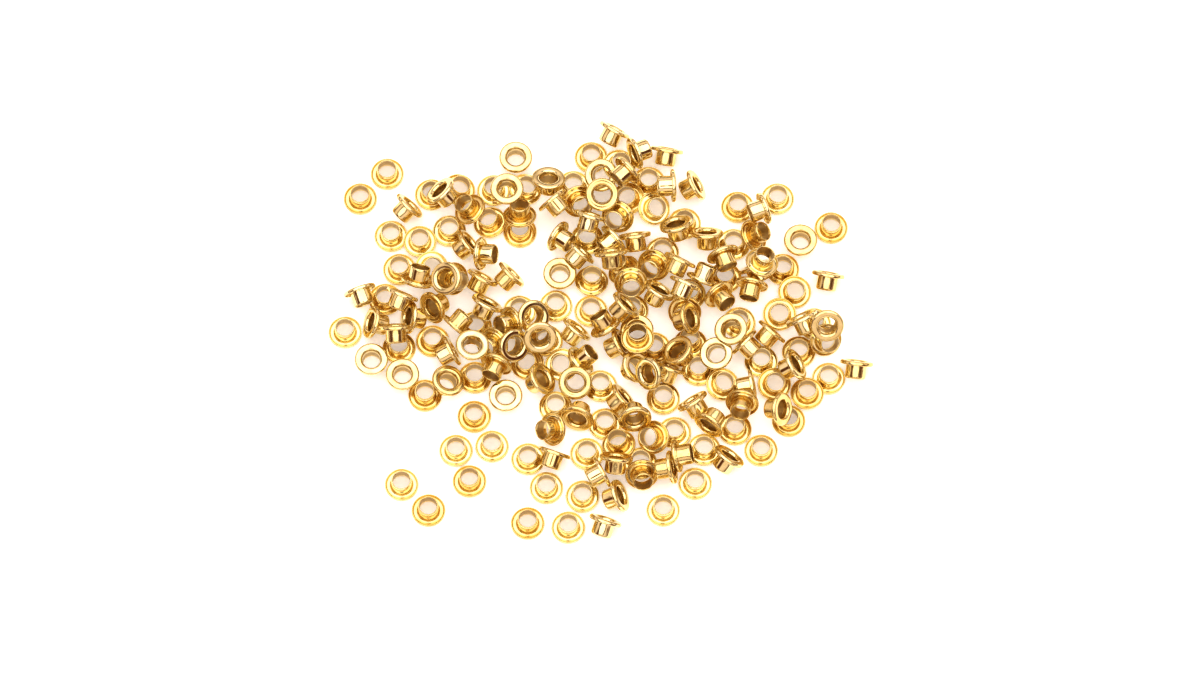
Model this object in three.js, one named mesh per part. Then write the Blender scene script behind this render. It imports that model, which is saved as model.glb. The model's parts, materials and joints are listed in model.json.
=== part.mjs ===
// A loose heap of small brass eyelets, as tipped out of a bag onto a table.
// Millimetres, +Z up. The heap lies on the plane z = 0, centred on the Z axis.
//
// One eyelet is a straight barrel with a rolled flange at one end. Its own frame has its
// origin at the middle of the flange's crown and +Y along the barrel, away from the flange.
// Every eyelet is a separate loose piece. Nothing joins them: each one lies on the table or
// leans on the eyelets laid before it, with a small gap left at every contact.
import * as THREE from "three";

// Driving dimensions of one eyelet, in mm.
const BORE_RADIUS = 2.0;
const SHEET = 0.3;
const FLANGE_RADIUS = 3.75;
const FLANGE_DEPTH = 0.9;
const LENGTH = 4.0;
const BARREL_RADIUS = BORE_RADIUS + SHEET;
const LEAD_IN = 0.35;
const EDGE_ROUNDING = 0.4;
const RIM_WIDTH = 0.45;
const RIM_LIP = 0.15;
const SEAT_HEIGHT = FLANGE_DEPTH / 2;
const FACETS = 12;

// The closed outline of the wall, as [radius, distance along the barrel].
const OUTLINE = [
  [BORE_RADIUS, LENGTH],
  [BORE_RADIUS, LEAD_IN],
  [BORE_RADIUS + LEAD_IN, 0],
  [FLANGE_RADIUS - EDGE_ROUNDING, 0],
  [FLANGE_RADIUS, FLANGE_DEPTH / 2],
  [FLANGE_RADIUS - RIM_LIP, FLANGE_DEPTH],
  [FLANGE_RADIUS - RIM_WIDTH, SEAT_HEIGHT],
  [BARREL_RADIUS, SEAT_HEIGHT],
  [BARREL_RADIUS, LENGTH],
];

const radians = THREE.MathUtils.degToRad;

// On its side, an eyelet rests on the flange's edge and the barrel's end.
const SIDE_TILT = 90 + THREE.MathUtils.radToDeg(
  Math.atan2(FLANGE_RADIUS - BARREL_RADIUS, LENGTH - FLANGE_DEPTH / 2),
);
const FLANGE_DOWN = 0;
const FLANGE_UP = 180;

// Where the eyelets lie, group by group. Each group has its name, the tilt of its barrels
// from straight up in degrees, and its places: [x, y] in mm, then the compass heading that
// the barrel tilts towards, in degrees from +X. The places are approximate: each eyelet
// settles from there. "loose" eyelets lie free round the heap, with nothing on them.
const GROUPS = [
  ["heap_flange_down", FLANGE_DOWN, [
    [-38, 34], [-24, 35], [-47, 24], [-45, 16], [-48, 9], [-57, 1], [-39, -14], [-16, -29],
    [-7, -45], [-12, -1], [-18, 6], [-2, 6], [-18, 25], [31, 31], [30, 22], [19, 27],
    [11, 37], [-6, 36], [-2, 43], [51, -10], [48, 3], [41, 16], [28, 14], [20, 10],
    [14, 20], [22, -8], [36, -6], [30, -22], [9, -30], [42, -20],
  ]],
  ["heap_flange_up", FLANGE_UP, [[-21, -15], [-9, 14]]],
  ["heap_on_side", SIDE_TILT, [[-53, 9, 262], [35, 15, 265], [4, -3, 200]]],
  ["heap_leaning_back", 60, [[24, 13, 60]]],
  ["heap_leaning_over", 150, [[17, 24, 300], [-15, 3, 200]]],
  ["loose_flange_down", FLANGE_DOWN, [
    [-48, 39], [-54, 33], [-28, -19], [-32, -27], [-24, -26], [-29, -34], [-44, -35],
    [-38, -41], [-16, -44], [14, -41], [40, 33], [52, 26],
  ]],
  ["loose_flange_up", FLANGE_UP, [[-19, 42], [45, 22], [-44, -10]]],
  ["loose_on_side", SIDE_TILT, [
    [-43, 30, 250], [3, 48, 250], [15, 43, 255], [21, 35, 205], [51, 13, 262],
    [1, -45, 245], [57, -8, 245],
  ]],
];

// How the eyelets settle.
const GAP = 0.3;
const STEP_UP = 0.2;
const MOVES = 5000;
const FIRST_SHIFT = 0.7;
const FIRST_TURN = 0.14;
const LAST_SCALE = 0.01;
const PULL_HOME = 0.6;
const SEARCH_MARGIN = 2;
const SEED = 20;

const UP = new THREE.Vector3(0, 0, 1);
const BARREL_AXIS = new THREE.Vector3(0, 1, 0);
const BALANCE_DEPTH = 1.3;
const BALANCE_POINT = BARREL_AXIS.clone().multiplyScalar(BALANCE_DEPTH);
const REACH = 2 * Math.hypot(FLANGE_RADIUS, LENGTH / 2) + SEARCH_MARGIN;

// Points all round the eyelet's edges, as [radius, distance along the barrel, how many].
const NEAR_CROWN = 0.2;
const MID_BARREL = [1.8, 2.9];
const EDGE_RINGS = [
  [FLANGE_RADIUS, NEAR_CROWN, 48],
  [FLANGE_RADIUS, FLANGE_DEPTH, 48],
  [FLANGE_RADIUS - EDGE_ROUNDING, 0, 24],
  [BORE_RADIUS, 0, 16],
  ...MID_BARREL.map((along) => [BARREL_RADIUS, along, 20]),
  [BARREL_RADIUS, LENGTH, 30],
  [BORE_RADIUS, LENGTH, 16],
];
const EDGE_POINTS = EDGE_RINGS.flatMap(([radius, along, count]) =>
  Array.from({ length: count }, (_, i) => {
    const turn = (2 * Math.PI * i) / count;
    return new THREE.Vector3(radius * Math.cos(turn), along, radius * Math.sin(turn));
  }),
);

// A repeatable stream of numbers between 0 and 1, by the mulberry32 formula.
let randomState = SEED;
function random() {
  randomState = (randomState + 0x6d2b79f5) | 0;
  let t = Math.imul(randomState ^ (randomState >>> 15), 1 | randomState);
  t = (t + Math.imul(t ^ (t >>> 7), 61 | t)) ^ t;
  return ((t ^ (t >>> 14)) >>> 0) / 2 ** 32;
}

function randomVector(size) {
  return new THREE.Vector3(random() - 0.5, random() - 0.5, random() - 0.5)
    .multiplyScalar(2 * size);
}

// Signed distance from a point to a ring of rectangular section.
function ringDistance(radius, along, inner, outer, end) {
  const across = Math.abs(radius - (inner + outer) / 2) - (outer - inner) / 2;
  const beyond = Math.abs(along - end / 2) - end / 2;
  const outside = Math.hypot(Math.max(across, 0), Math.max(beyond, 0));
  return outside + Math.min(Math.max(across, beyond), 0);
}

// Signed distance from a point in an eyelet's own frame to its metal.
function metalDistance(point) {
  const radius = Math.hypot(point.x, point.z);
  return Math.min(
    ringDistance(radius, point.y, BORE_RADIUS, BARREL_RADIUS, LENGTH),
    ringDistance(radius, point.y, BORE_RADIUS, FLANGE_RADIUS, FLANGE_DEPTH),
  );
}

// A pose is the crown's place and the turn from the eyelet's own frame.
function makePose(place, turn) {
  const edge = EDGE_POINTS.map((p) => p.clone().applyQuaternion(turn).add(place));
  return {
    place,
    turn,
    edge,
    back: turn.clone().invert(),
    balance: BALANCE_POINT.clone().applyQuaternion(turn).add(place),
    lowest: Math.min(...edge.map((p) => p.z)),
  };
}

const local = new THREE.Vector3();
function edgeTouches(edge, other) {
  return edge.some(
    (p) => metalDistance(local.copy(p).sub(other.place).applyQuaternion(other.back)) < GAP,
  );
}

function isFree(pose, others) {
  if (pose.lowest < 0) return false;
  return !others.some((o) => edgeTouches(pose.edge, o) || edgeTouches(o.edge, pose));
}

// Lays one eyelet: it starts just clear above its place, then works its way down by small
// random shifts and turns, each kept only if it lowers the eyelet and touches nothing.
function settle(x, y, tilt, heading, laid) {
  const lean = new THREE.Vector3(
    Math.sin(tilt) * Math.cos(heading),
    Math.sin(tilt) * Math.sin(heading),
    Math.cos(tilt),
  );
  const spin = new THREE.Quaternion().setFromAxisAngle(BARREL_AXIS, 2 * Math.PI * random());
  const turn = new THREE.Quaternion().setFromUnitVectors(BARREL_AXIS, lean).multiply(spin);
  const flat = makePose(new THREE.Vector3(0, 0, 0), turn);
  const start = new THREE.Vector3(x - flat.balance.x, y - flat.balance.y, -flat.lowest);
  let pose = makePose(start, turn);
  const others = laid.filter((o) => Math.hypot(o.balance.x - x, o.balance.y - y) < REACH);
  const fitsFlat = isFree(pose, others);
  while (!isFree(pose, others)) {
    pose = makePose(pose.place.clone().addScaledVector(UP, STEP_UP), turn);
  }
  const upright = tilt === radians(FLANGE_DOWN) || tilt === radians(FLANGE_UP);
  if (fitsFlat && upright) return pose;

  const cost = (p) => p.balance.z + PULL_HOME * ((p.balance.x - x) ** 2 + (p.balance.y - y) ** 2);
  let best = cost(pose);
  for (let i = 0; i < MOVES; i += 1) {
    const scale = Math.max((1 - i / MOVES) ** 2, LAST_SCALE);
    const twist = randomVector(FIRST_TURN * scale);
    const swing = new THREE.Quaternion().setFromAxisAngle(
      twist.clone().normalize(),
      twist.length(),
    );
    const balance = pose.balance.clone().add(randomVector(FIRST_SHIFT * scale));
    const turned = swing.multiply(pose.turn).normalize();
    const place = balance.clone().sub(BALANCE_POINT.clone().applyQuaternion(turned));
    const trial = makePose(place, turned);
    if (trial.lowest < 0 || cost(trial) >= best || !isFree(trial, others)) continue;
    pose = trial;
    best = cost(trial);
  }
  return pose;
}

const brass = new THREE.MeshStandardMaterial({
  color: 0xe3b75e,
  roughness: 0.18,
  metalness: 1.0,
});

const outline = [...OUTLINE, OUTLINE[0]].map(([radius, along]) => new THREE.Vector2(radius, along));
const eyeletGeometry = new THREE.LatheGeometry(outline, FACETS);

const heap = new THREE.Group();
const laid = [];
for (const [name, tilt, places] of GROUPS) {
  places.forEach(([x, y, heading = 0], i) => {
    const pose = settle(x, y, radians(tilt), radians(heading), laid);
    laid.push(pose);
    const eyelet = new THREE.Mesh(eyeletGeometry, brass);
    eyelet.name = `${name}_${String(i + 1).padStart(2, "0")}`;
    eyelet.position.copy(pose.place);
    eyelet.quaternion.copy(pose.turn);
    heap.add(eyelet);
  });
}

// The heap's box is centred on the Z axis and stands on z = 0.
const box = new THREE.Box3().setFromObject(heap, true);
const middle = box.getCenter(new THREE.Vector3());
for (const eyelet of heap.children) {
  eyelet.position.sub(new THREE.Vector3(middle.x, middle.y, box.min.z));
}

export default heap;
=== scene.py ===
"""A loose heap of small polished brass eyelets on a pale floor, in soft studio light.

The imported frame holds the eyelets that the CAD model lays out. Each of them gets a finely
turned eyelet that stands for it. The rest of the heap is laid here, round and on top of them.
"""
import json
import math
import random

import bpy
import numpy as np
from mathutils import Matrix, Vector


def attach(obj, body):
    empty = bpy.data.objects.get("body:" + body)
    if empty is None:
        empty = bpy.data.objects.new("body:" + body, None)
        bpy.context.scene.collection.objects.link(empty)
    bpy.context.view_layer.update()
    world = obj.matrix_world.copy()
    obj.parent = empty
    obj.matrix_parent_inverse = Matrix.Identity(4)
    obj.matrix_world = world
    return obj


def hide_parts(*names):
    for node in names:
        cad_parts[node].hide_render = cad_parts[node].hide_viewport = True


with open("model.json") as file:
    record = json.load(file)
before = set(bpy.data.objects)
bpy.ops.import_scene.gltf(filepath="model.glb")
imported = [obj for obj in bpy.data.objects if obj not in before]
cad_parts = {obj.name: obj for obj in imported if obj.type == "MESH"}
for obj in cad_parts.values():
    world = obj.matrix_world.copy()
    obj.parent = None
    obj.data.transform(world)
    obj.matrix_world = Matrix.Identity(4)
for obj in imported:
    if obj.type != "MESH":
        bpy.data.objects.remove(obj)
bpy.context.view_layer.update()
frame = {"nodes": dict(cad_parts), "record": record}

MM = 0.001
HEAP_BODY = "heap"

# ---------------------------------------------------------------- the shape of one eyelet, mm
BORE_RADIUS = 2.0
SHEET = 0.3
BARREL_RADIUS = BORE_RADIUS + SHEET
FLANGE_DEPTH = 0.9
SEGMENTS = 44
# A CAD point this near the largest radius is on the rim.
RIM_BAND = 0.2


def measure(node):
    """Crown centre, barrel direction, flange radius and length of a CAD eyelet, in mm."""
    mesh = frame["nodes"][node].data
    places = np.array([v.co for v in mesh.vertices], float) / MM
    places = np.unique(places.round(4), axis=0)
    centre = places.mean(0)
    _, directions = np.linalg.eigh(np.cov((places - centre).T))
    axis = directions[:, 0]
    along = (places - centre) @ axis
    radius = np.linalg.norm(places - centre - np.outer(along, axis), axis=1)
    widest = along[radius > radius.max() - RIM_BAND].mean()
    if widest > along.mean():
        axis, along = -axis, -along
    crown = centre + axis * along.min()
    return crown, axis, radius.max(), np.ptp(along)


BODIES = {
    node: body
    for body, members in frame["record"]["behaviour"]["bodies"].items()
    for node in members
}
MEASURED = {node: measure(node) for node in sorted(BODIES)}
CAD_POSES = {node: (crown, axis) for node, (crown, axis, _, _) in MEASURED.items()}
FLANGE_RADIUS = round(float(np.mean([radius for _, _, radius, _ in MEASURED.values()])), 2)
LENGTH = round(float(np.mean([length for _, _, _, length in MEASURED.values()])), 2)


def arc(centre, radii, start, end, steps):
    """Points on an ellipse, from start to end in degrees, as [radius, along]."""
    turns = np.radians(np.linspace(start, end, steps + 1))
    return [
        (centre[0] + radii[0] * math.cos(t), centre[1] + radii[1] * math.sin(t)) for t in turns
    ]


def outline():
    """The closed section of the wall, as (radius, distance from the crown), in mm: along the
    bore to the crown, over the crown, round the rim, and along the outside to the end. Each
    rounding has a width across the eyelet and a depth along it."""
    lead_in, lead_in_depth = 0.62, 0.72
    crown_dip = 0.02
    crown_top = 0.95
    edge = 0.5
    edge_flat = 0.01
    lip, lip_depth = 0.15, 0.18
    curl, curl_depth = 0.25, 0.55
    fillet, fillet_depth = 0.45, 0.6
    seat = SHEET + crown_dip
    taper, taper_depth = 0.25, 0.55
    end_lip = [(BORE_RADIUS - 0.07, LENGTH - 0.1), (BORE_RADIUS - 0.04, LENGTH - 0.3)]

    rim = FLANGE_RADIUS - lip
    foot = BARREL_RADIUS + fillet
    points = [(BORE_RADIUS, LENGTH - taper_depth), (BORE_RADIUS, LENGTH / 2)]
    points += arc(
        (BORE_RADIUS + lead_in, lead_in_depth), (lead_in, lead_in_depth - crown_dip), 180, 270, 5
    )
    points += [(BORE_RADIUS + crown_top, 0)]
    points += arc((FLANGE_RADIUS - edge, edge), (edge, edge - edge_flat), 270, 360, 5)
    points += arc((rim, FLANGE_DEPTH - lip_depth), (lip, lip_depth), 0, 180, 5)
    points += arc((FLANGE_RADIUS - 2 * lip - curl, curl_depth), (curl, curl_depth - seat), 0, -90, 3)
    points += arc((foot, seat + fillet_depth), (fillet, fillet_depth), 270, 180, 5)
    points += [(BARREL_RADIUS, LENGTH / 2)]
    points += arc((BARREL_RADIUS - taper, LENGTH - taper_depth), (taper, taper_depth), 0, 90, 4)
    return points + end_lip


# ---------------------------------------------------------------- how eyelets lie, mm
# The least gap between two eyelets, and how far below the floor still counts as on it.
GAP = 0.15
FLOOR_SLACK = 1e-6
# The search: its seed and rounds, the trials in each and how many of the best are checked.
SEED = 7
ROUNDS = 200
TRIES = 12
CHECKED = 5
# The largest shift in mm and turn in radians, the smallest share of them that a trial takes,
# and the share that they shrink to by the last round.
FIRST_SHIFT = 0.8
FIRST_TURN = 0.2
SMALLEST_SHARE = 0.1
LAST_SCALE = 0.02
# What keeps an eyelet near its place, and the distance from the crown to its balance point.
PULL_HOME = 0.22
BALANCE = 1.3
# How far off a neighbour matters, how high an eyelet may start and in which steps, and how
# high its balance point may end.
REACH = 10.5
HIGHEST_START = 14.0
STEP_UP = 0.2
HIGHEST_BALANCE = 8.6
# The heights that a loose eyelet passes on its way up, which stay free.
WAY_UP = np.arange(1.5, 13, 1.5)
# An axis with more than this along Z counts as upright.
UPRIGHT = 0.8

# Points all round an eyelet's edges, as (radius, distance from the crown, how many).
EDGE_RINGS = [
    (FLANGE_RADIUS, 0.25, 48),
    (FLANGE_RADIUS, FLANGE_DEPTH, 48),
    (3.3, 0.0, 20),
    (BORE_RADIUS + 0.3, 0.0, 16),
    (BARREL_RADIUS, 1.8, 18),
    (BARREL_RADIUS, 2.9, 18),
    (BARREL_RADIUS, LENGTH - 0.3, 24),
    (BARREL_RADIUS - 0.15, LENGTH, 24),
]
EDGE = np.array([
    (radius * math.cos(math.tau * i / count), radius * math.sin(math.tau * i / count), along)
    for radius, along, count in EDGE_RINGS
    for i in range(count)
])
numbers = np.random.default_rng(SEED)


def unit(v):
    return v / np.linalg.norm(v, axis=-1, keepdims=True)


def across(axes):
    """Two unit vectors square to each axis."""
    helper = np.where(np.abs(axes[..., 2:]) < UPRIGHT, [0.0, 0.0, 1.0], [1.0, 0.0, 0.0])
    first = unit(np.cross(axes, helper))
    return first, np.cross(axes, first)


def edge_points(crowns, axes):
    """The edge points of eyelets in these poses, as [pose, point, xyz]."""
    first, second = across(axes)
    turned = np.stack([first, second, axes], axis=-2)
    return crowns[..., None, :] + EDGE @ turned


def ring_distance(radius, along, outer, end):
    """Signed distance to a ring of rectangular section round the bore."""
    wide = np.abs(radius - (BORE_RADIUS + outer) / 2) - (outer - BORE_RADIUS) / 2
    far = np.abs(along - end / 2) - end / 2
    return np.hypot(np.maximum(wide, 0), np.maximum(far, 0)) + np.minimum(np.maximum(wide, far), 0)


def metal_distance(points, crowns, axes):
    """Signed distance from points to the metal of eyelets in these poses."""
    away = points - crowns
    along = (away * axes).sum(-1)
    radius = np.sqrt(np.maximum((away * away).sum(-1) - along * along, 0))
    barrel = ring_distance(radius, along, BARREL_RADIUS, LENGTH)
    flange = ring_distance(radius, along, FLANGE_RADIUS, FLANGE_DEPTH)
    return np.minimum(barrel, flange)


def free(crowns, axes, near):
    """Which of these poses stay above the floor and clear of the eyelets near them."""
    edges = edge_points(crowns, axes)
    clear = edges[..., 2].min(-1) > -FLOOR_SLACK
    if not near:
        return clear
    their_crowns = np.array([n[0] for n in near])
    their_axes = np.array([n[1] for n in near])
    their_edges = np.concatenate([n[2] for n in near])
    mine = metal_distance(edges[:, :, None, :], their_crowns, their_axes).min((1, 2))
    theirs = metal_distance(their_edges[None], crowns[:, None], axes[:, None]).min(1)
    return clear & (mine > GAP) & (theirs > GAP)


def free_places(home, axis, near):
    """The crown places straight above home, from the floor up, where this pose is clear."""
    sunk = edge_points(np.zeros(3), axis)[:, 2].min()
    heights = np.arange(0, HIGHEST_START, STEP_UP) - sunk
    crowns = np.array([(*(home - axis[:2] * BALANCE), height) for height in heights])
    return crowns[free(crowns, np.repeat(axis[None], len(crowns), 0), near)]


def settle(home, tilt, heading, laid):
    """Lays one eyelet: from just clear above its place it works its way down by small shifts
    and turns, and keeps the best of each round that lowers it and touches nothing. Returns its
    crown and axis, or None if it finds no place."""
    axis = np.array([
        math.sin(tilt) * math.cos(heading), math.sin(tilt) * math.sin(heading), math.cos(tilt)
    ])
    near = [n for n in laid if math.dist(n[3][:2], home) < REACH]
    starts = free_places(home, axis, near)
    if not len(starts):
        return None
    balance = starts[0] + axis * BALANCE
    best = balance[2] + PULL_HOME * ((balance[:2] - home) ** 2).sum()
    for i in range(ROUNDS):
        scale = max((1 - i / ROUNDS) ** 2, LAST_SCALE)
        sizes = scale * numbers.uniform(SMALLEST_SHARE, 1.0, (TRIES, 1))
        balances = balance + FIRST_SHIFT * sizes * numbers.uniform(-1, 1, (TRIES, 3))
        axes = unit(axis + FIRST_TURN * sizes * numbers.uniform(-1, 1, (TRIES, 3)))
        costs = balances[:, 2] + PULL_HOME * ((balances[:, :2] - home) ** 2).sum(1)
        order = [k for k in np.argsort(costs) if costs[k] < best][:CHECKED]
        if not order:
            continue
        crowns = balances[order] - axes[order] * BALANCE
        good = free(crowns, axes[order], near)
        if good.any():
            k = order[int(np.argmax(good))]
            balance, axis, best = balances[k], axes[k], costs[k]
    return (balance - axis * BALANCE, axis) if balance[2] < HIGHEST_BALANCE else None


def remember(laid, crown, axis):
    laid.append((crown, axis, edge_points(crown, axis), crown + axis * BALANCE))


# ---------------------------------------------------------------- where the others lie
# As in the CAD model: the tilt of the barrel from straight up, then places as (x, y) in mm
# and the compass heading that the barrel tilts towards. The first groups lie on the floor,
# and the later ones lean on them.
DOWN, UP = 0, 180
SIDE = 90 + math.degrees(math.atan2(FLANGE_RADIUS - BARREL_RADIUS, LENGTH - FLANGE_DEPTH / 2))
OTHERS = [
    (DOWN, [
        (-34, 24), (-25, 26), (-18, 26), (-40.5, 21), (-32, 34), (-17, 34), (-30, 28),
        (-38, 15), (-33, 12), (-28, 1), (-20, 1), (-45, -4), (-38, -3), (-24, -3), (-28, -11),
        (-16, -8), (-12, -37), (-10, 6), (-2, 12), (-5, 31), (4.5, 39.5), (6, 32), (4, 27),
        (12, 29), (-3, 22), (1, 0), (0, -13), (-10, -18), (1, -22), (-3, -29), (-4, -39),
        (9, -35), (4, -27), (43, 10), (40, 4), (26, 9), (36, 14), (34, 22), (12, 15), (19, 4),
        (7, 5), (12, -4), (20, -3), (31, 2), (44, -4), (38, -12), (46, -15), (27, -13),
        (14, -16), (23, -28), (17, -24), (35, -28), (12, -26), (21, -36), (50, -3), (6, 14),
    ]),
    (UP, [
        (-51, -8), (-34, -13), (-20, -5), (-21, 31), (0, 36), (8, -1), (7, -9), (33, -5),
    ]),
    (SIDE, [
        (-51, 1, 350), (8.5, 42, 0), (-12, 34, 270), (-9, 30, 265), (-30, 20, 220),
        (-27, 11, 240), (-21, 11, 235), (-24, 4, 225), (-31, 0, 30), (-35, -6, 215),
        (-42, 2, 10), (-43, 6, 270), (-48, 5, 255), (-47, -1, 270), (-37, 5, 35),
        (-23, -10, 270), (-14, -12, 225), (-5, -20, 40), (-11, -30, 250), (4, -32, 270),
        (2, -5, 270), (-6, -1, 225), (4, -17, 200), (-1, -34, 215), (3, -39, 185),
        (-5, 17, 200), (-2, 26, 270), (5, 36, 230), (14, 33, 200), (36, 26, 215),
        (24, 22, 265), (33, 17, 265), (46.5, 8.5, 265), (26, 14, 270), (7, 9, 270),
        (12, 9, 250), (18, 7, 230), (5, 3, 210), (7.5, 21, 270), (17, 14, 250),
        (15, -10, 240), (25, -7, 30), (36, -3, 255), (43, -10, 200), (31, -20, 240),
        (20, -18, 310), (40, -21, 150), (28, -31, 250), (13, -33, 160), (8, -22, 100),
        (20, 1, 190), (46, 0, 280), (-15, -3, 60),
    ]),
    (60, [
        (-28, 17, 10), (-40, 12, 115), (-11, -24, 190), (-10, -8, 140), (-5, -7, 120),
        (34, 10, 320), (8, -4, 60), (24, -21, 80), (33, -14, 200), (16, -30, 20),
    ]),
    (145, [
        (-35, 31, 300), (-28, -6, 270), (-6, -13, 280), (-8, 20, 270), (-11, 25, 300),
        (0, 31, 40), (29, -3, 60), (40, -7, 320), (12, -12, 90),
    ]),
    (125, [(-36, 10, 60), (2, 21, 280), (50, -2, 60), (3, 15, 270), (18, -7, 300)]),
]


def lay_heap():
    """The poses of the frame's eyelets and of the others, which are laid one on another. None
    lies over a loose eyelet, which can be lifted straight up."""
    laid = []
    for node, (crown, axis) in CAD_POSES.items():
        remember(laid, crown, axis)
        if BODIES[node] != HEAP_BODY:
            for lift in WAY_UP:
                remember(laid, crown + (0, 0, lift), axis)
    others = []
    for tilt, places in OTHERS:
        for x, y, *heading in places:
            turn = math.radians(heading[0] if heading else 0)
            pose = settle(np.array([x, y], float), math.radians(tilt), turn, laid)
            if pose:
                remember(laid, *pose)
                others.append(pose)
    return others


# ---------------------------------------------------------------- camera, floor and light
VIEW_ELEVATION = 70
LENS = 200
SENSOR = 36
FRAME_WIDTH = 0.2685
TARGET = Vector((-0.11 * MM, -1.23 * MM, 0))
FLOOR_HALF = 3.0
FLOOR_COLOUR = (0.92, 0.915, 0.91, 1)
FLOOR_ROUGHNESS = 0.7
FLOOR_GLOW_COLOUR = (1.0, 0.91, 0.86, 1)
FLOOR_GLOW = 0.42
STUDIO_STRENGTH = 2.15
# Bands of light, as (the sine of the elevation, the level there), the tint of dark levels,
# and darker patches, as (direction, inner and outer half angle in degrees).
STUDIO_BANDS = [
    (0.0, 0.03), (0.05, 0.04), (0.14, 0.24), (0.28, 0.52), (0.6, 0.55), (0.65, 0.13),
    (0.69, 0.13), (0.735, 0.95),
]
SHADE_TINT = (1.0, 0.45, 0.2)
PATCH_COLOUR = (0.16, 0.07, 0.03, 1)
DARK_PATCHES = [
    ((0, -0.34, 0.94), 5, 9),
    ((0.75, -0.43, 0.45), 9, 19),
    ((-0.75, -0.43, 0.45), 9, 19),
    ((0.6, 0.5, 0.6), 4, 9),
    ((-0.65, 0.45, 0.55), 4, 9),
]
VIEW_GAMMA = 0.74
GLOSSY_BOUNCES = 8


def add_camera():
    camera = bpy.data.objects.new("camera", bpy.data.cameras.new("camera"))
    bpy.context.scene.collection.objects.link(camera)
    bpy.context.scene.camera = camera
    camera.data.lens = LENS
    camera.data.sensor_width = SENSOR
    away = FRAME_WIDTH * LENS / SENSOR
    tilt = math.radians(VIEW_ELEVATION)
    back = Vector((0, -math.cos(tilt), math.sin(tilt)))
    camera.location = TARGET + back * away
    camera.rotation_mode = "QUATERNION"
    camera.rotation_quaternion = (-back).to_track_quat("-Z", "Y")
    camera.data.clip_start = away * 0.01
    camera.data.clip_end = away * 100


def add_floor():
    mesh = bpy.data.meshes.new("floor")
    signs = [(-1, -1), (1, -1), (1, 1), (-1, 1)]
    corners = [(x * FLOOR_HALF, y * FLOOR_HALF, 0) for x, y in signs]
    mesh.from_pydata(corners, [], [(0, 1, 2, 3)])
    floor = bpy.data.objects.new("floor", mesh)
    bpy.context.scene.collection.objects.link(floor)
    material = bpy.data.materials.new("white_floor")
    material.use_nodes = True
    shader = material.node_tree.nodes["Principled BSDF"]
    shader.inputs["Base Color"].default_value = FLOOR_COLOUR
    shader.inputs["Roughness"].default_value = FLOOR_ROUGHNESS
    shader.inputs["Emission Color"].default_value = FLOOR_GLOW_COLOUR
    shader.inputs["Emission Strength"].default_value = FLOOR_GLOW
    mesh.materials.append(material)


def studio_bands(nodes, links, where):
    """The light by height alone."""
    split = nodes.new("ShaderNodeSeparateXYZ")
    links.new(where, split.inputs[0])
    bands = nodes.new("ShaderNodeValToRGB")
    ramp = bands.color_ramp
    while len(ramp.elements) > 1:
        ramp.elements.remove(ramp.elements[-1])
    for i, (height, light) in enumerate(STUDIO_BANDS):
        element = ramp.elements[0] if i == 0 else ramp.elements.new(height)
        element.position = height
        element.color = (*(light * (t + (1 - t) * math.sqrt(light)) for t in SHADE_TINT), 1)
    links.new(split.outputs["Z"], bands.inputs["Fac"])
    return bands.outputs["Color"]


def darker_patch(nodes, links, where, light, direction, inner, outer):
    """The same light with a soft dark disc in one direction."""
    toward = nodes.new("ShaderNodeVectorMath")
    toward.operation = "DOT_PRODUCT"
    toward.inputs[1].default_value = Vector(direction).normalized()
    links.new(where, toward.inputs[0])
    edge = nodes.new("ShaderNodeMapRange")
    edge.interpolation_type = "SMOOTHSTEP"
    edge.inputs["From Min"].default_value = math.cos(math.radians(outer))
    edge.inputs["From Max"].default_value = math.cos(math.radians(inner))
    links.new(toward.outputs["Value"], edge.inputs["Value"])
    darker = nodes.new("ShaderNodeMixRGB")
    darker.blend_type = "MULTIPLY"
    darker.inputs["Color2"].default_value = PATCH_COLOUR
    links.new(edge.outputs["Result"], darker.inputs["Fac"])
    links.new(light, darker.inputs["Color1"])
    return darker.outputs["Color"]


def add_world():
    """A white studio for the light and the reflections: bright overhead, warm and dark low
    down, with a few dark patches. The background behind the floor is plain white."""
    world = bpy.data.worlds.new("studio")
    bpy.context.scene.world = world
    world.use_nodes = True
    nodes, links = world.node_tree.nodes, world.node_tree.links
    nodes.clear()
    where = nodes.new("ShaderNodeTexCoord").outputs["Generated"]
    light = studio_bands(nodes, links, where)
    for patch in DARK_PATCHES:
        light = darker_patch(nodes, links, where, light, *patch)
    room = nodes.new("ShaderNodeBackground")
    room.inputs["Strength"].default_value = STUDIO_STRENGTH
    links.new(light, room.inputs["Color"])
    seen = nodes.new("ShaderNodeBackground")
    seen.inputs["Color"].default_value = (1, 1, 1, 1)
    seen.inputs["Strength"].default_value = 1.0
    path = nodes.new("ShaderNodeLightPath")
    mix = nodes.new("ShaderNodeMixShader")
    out = nodes.new("ShaderNodeOutputWorld")
    links.new(path.outputs["Is Camera Ray"], mix.inputs["Fac"])
    links.new(room.outputs[0], mix.inputs[1])
    links.new(seen.outputs[0], mix.inputs[2])
    links.new(mix.outputs[0], out.inputs["Surface"])


# ---------------------------------------------------------------- polished brass
# In the section's UV, Y runs once round the wall, and its first share is the bore.
BORE_SHARE = 0.2
BORE_BLEND = 0.04
# Painted shade: the bore's colour is darker and warmer than the brass outside, as shade inside the
# hole.
BORE_SHADE_COLOUR = (0.62, 0.47, 0.24, 1)
BORE_ROUGHER = 0.3
CLOUD_SCALE = 420
CLOUD_DETAIL = 3
CLOUD_RANGE = (0.38, 0.62)
LINE_STRETCH = (90, 1.5, 1)
LINE_DETAIL = 2
LINE_RANGE = (0.3, 0.7)
LINE_GLOSS = (0.7, 1.4)


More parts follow.
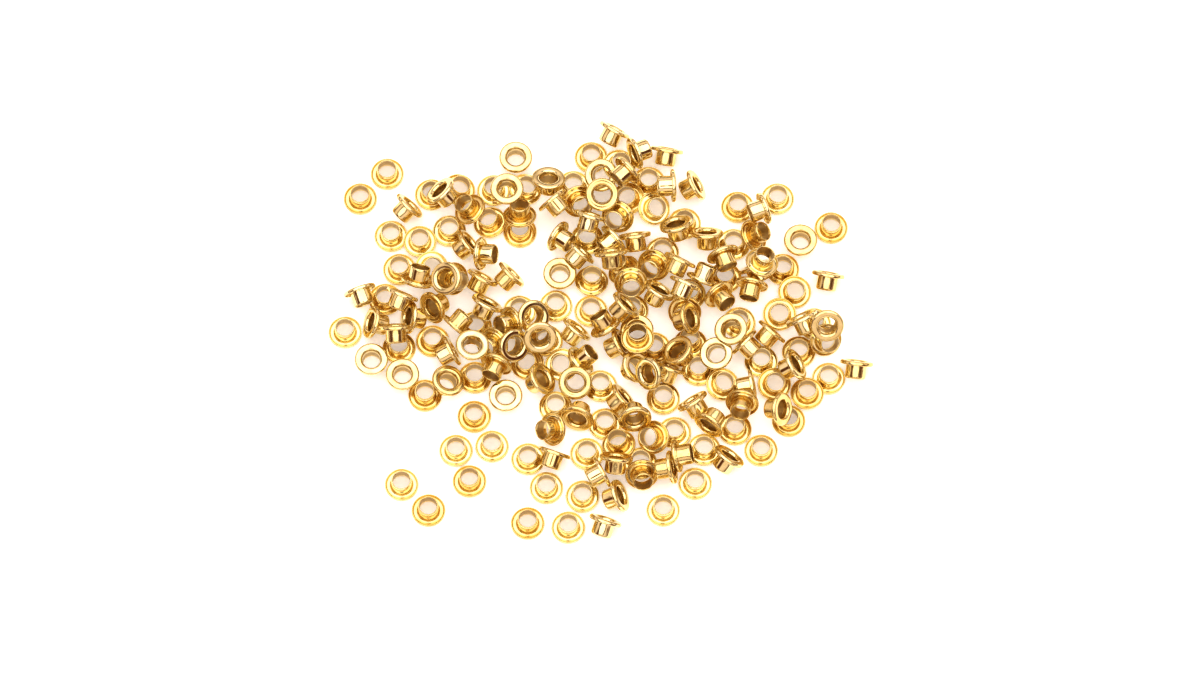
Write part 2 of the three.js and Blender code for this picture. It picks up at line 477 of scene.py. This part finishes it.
def cloudy_tone(nodes, links, where, pale, deep):
    """A slow drift between two tones of brass."""
    cloud = nodes.new("ShaderNodeTexNoise")
    cloud.inputs["Scale"].default_value = CLOUD_SCALE
    cloud.inputs["Detail"].default_value = CLOUD_DETAIL
    links.new(where.outputs["Object"], cloud.inputs["Vector"])
    tone = nodes.new("ShaderNodeValToRGB")
    for element, position, colour in zip(tone.color_ramp.elements, CLOUD_RANGE, (deep, pale)):
        element.position = position
        element.color = (*colour, 1)
    links.new(cloud.outputs["Fac"], tone.inputs["Fac"])
    return tone.outputs["Color"]


def inside_bore(nodes, links, where):
    """1 on the wall of the bore, and 0 elsewhere."""
    section = nodes.new("ShaderNodeSeparateXYZ")
    links.new(where.outputs["UV"], section.inputs[0])
    inside = nodes.new("ShaderNodeMapRange")
    inside.inputs["From Min"].default_value = BORE_SHARE
    inside.inputs["From Max"].default_value = BORE_SHARE - BORE_BLEND
    links.new(section.outputs["Y"], inside.inputs["Value"])
    return inside.outputs["Result"]


def drawing_lines(nodes, links, where, roughness):
    """Roughness in fine lines along the barrel."""
    stretch = nodes.new("ShaderNodeMapping")
    stretch.inputs["Scale"].default_value = LINE_STRETCH
    links.new(where.outputs["UV"], stretch.inputs["Vector"])
    lines = nodes.new("ShaderNodeTexNoise")
    lines.inputs["Scale"].default_value = 1.0
    lines.inputs["Detail"].default_value = LINE_DETAIL
    links.new(stretch.outputs["Vector"], lines.inputs["Vector"])
    haze = nodes.new("ShaderNodeMapRange")
    haze.inputs["From Min"].default_value = LINE_RANGE[0]
    haze.inputs["From Max"].default_value = LINE_RANGE[1]
    haze.inputs["To Min"].default_value = roughness * LINE_GLOSS[0]
    haze.inputs["To Max"].default_value = roughness * LINE_GLOSS[1]
    links.new(lines.outputs["Fac"], haze.inputs["Value"])
    return haze.outputs["Result"]


def brass(name, pale, deep, roughness):
    """Bright brass, cloudy between two tones, with faint drawing lines, and a rougher bore whose
    darker, warmer colour is painted shade.
    """
    material = bpy.data.materials.new(name)
    material.use_nodes = True
    nodes, links = material.node_tree.nodes, material.node_tree.links
    shader = nodes["Principled BSDF"]
    shader.inputs["Metallic"].default_value = 1.0
    where = nodes.new("ShaderNodeTexCoord")
    inside = inside_bore(nodes, links, where)

    # Painted shade: the bore wall is mixed towards the darker bore colour.
    bore_shade = nodes.new("ShaderNodeMixRGB")
    bore_shade.inputs["Color2"].default_value = BORE_SHADE_COLOUR
    links.new(inside, bore_shade.inputs["Fac"])
    links.new(cloudy_tone(nodes, links, where, pale, deep), bore_shade.inputs["Color1"])
    links.new(bore_shade.outputs["Color"], shader.inputs["Base Color"])

    rougher = nodes.new("ShaderNodeMath")
    rougher.operation = "MULTIPLY_ADD"
    rougher.inputs[1].default_value = BORE_ROUGHER
    links.new(inside, rougher.inputs[0])
    links.new(drawing_lines(nodes, links, where, roughness), rougher.inputs[2])
    links.new(rougher.outputs[0], shader.inputs["Roughness"])
    return material


# ---------------------------------------------------------------- the fine eyelets
MOST_OVAL = 0.012
MOST_WAVE = 0.02
WAVE_DEPTH = 1.0
BATCH_SEED = 3
OUTLINE = np.array(outline())
STEPS = np.linalg.norm(np.roll(OUTLINE, -1, 0) - OUTLINE, axis=1)
SHARE = np.concatenate([[0], np.cumsum(STEPS)]) / STEPS.sum()


def eyelet_mesh(name, crown, axis, spin):
    """A turned eyelet in this pose, in metres, with its own small faults: the barrel is a
    little oval towards its end, and the flange has three slight waves."""
    dice = random.Random(name)
    oval = dice.uniform(0, MOST_OVAL)
    wave = dice.uniform(0, MOST_WAVE)
    turns = spin + np.linspace(0, math.tau, SEGMENTS, endpoint=False)
    first, second = across(axis)
    rings = []
    for radius, along in OUTLINE:
        near_end = max(0.0, (along - FLANGE_DEPTH) / (LENGTH - FLANGE_DEPTH))
        wide = radius * (1 + oval * near_end * np.cos(2 * turns))
        high = along + wave * (radius / FLANGE_RADIUS) ** 2 * np.cos(3 * turns) * (along < WAVE_DEPTH)
        rings.append(
            crown
            + np.outer(wide * np.cos(turns), first)
            + np.outer(wide * np.sin(turns), second)
            + np.outer(high, axis)
        )
    places = np.concatenate(rings) * MM
    count = len(OUTLINE)
    faces = []
    corners = []
    for i in range(count):
        j = (i + 1) % count
        for k in range(SEGMENTS):
            m = (k + 1) % SEGMENTS
            faces.append((i * SEGMENTS + k, j * SEGMENTS + k, j * SEGMENTS + m, i * SEGMENTS + m))
            left, right = k / SEGMENTS, (k + 1) / SEGMENTS
            low, high = SHARE[i], SHARE[i + 1]
            corners += [left, low, left, high, right, high, right, low]
    mesh = bpy.data.meshes.new(name)
    mesh.from_pydata(places.tolist(), [], faces)
    mesh.uv_layers.new(name="UVMap").data.foreach_set("uv", corners)
    mesh.polygons.foreach_set("use_smooth", [True] * len(faces))
    mesh.update()
    return mesh


def add_eyelet(name, crown, axis, body, material):
    spin = random.Random("spin " + name).uniform(0, math.tau)
    eyelet = bpy.data.objects.new(name, eyelet_mesh(name, crown, axis, spin))
    bpy.context.scene.collection.objects.link(eyelet)
    eyelet.data.materials.append(material)
    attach(eyelet, body)
    return eyelet


def add_heap():
    """The frame's eyelets and the others, in brass of three batches mixed at random."""
    batches = [
        brass("brass_pale", (0.87, 0.735, 0.42), (0.82, 0.665, 0.33), 0.12),
        brass("brass_warm", (0.86, 0.705, 0.37), (0.80, 0.63, 0.28), 0.15),
        brass("brass_bright", (0.89, 0.775, 0.47), (0.84, 0.705, 0.38), 0.10),
    ]
    chosen = random.Random(BATCH_SEED)
    for node, (crown, axis) in CAD_POSES.items():
        piece = add_eyelet(node + "_turned", crown, axis, BODIES[node], chosen.choice(batches))
        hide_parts(node)
    for i, (crown, axis) in enumerate(lay_heap(), 1):
        add_eyelet(f"eyelet_{i:03d}", crown, axis, HEAP_BODY, chosen.choice(batches))


add_camera()
add_floor()
add_world()
add_heap()
bpy.context.scene.view_settings.view_transform = "Standard"
bpy.context.scene.view_settings.gamma = VIEW_GAMMA
bpy.context.scene.cycles.glossy_bounces = GLOSSY_BOUNCES

bpy.context.view_layer.update()
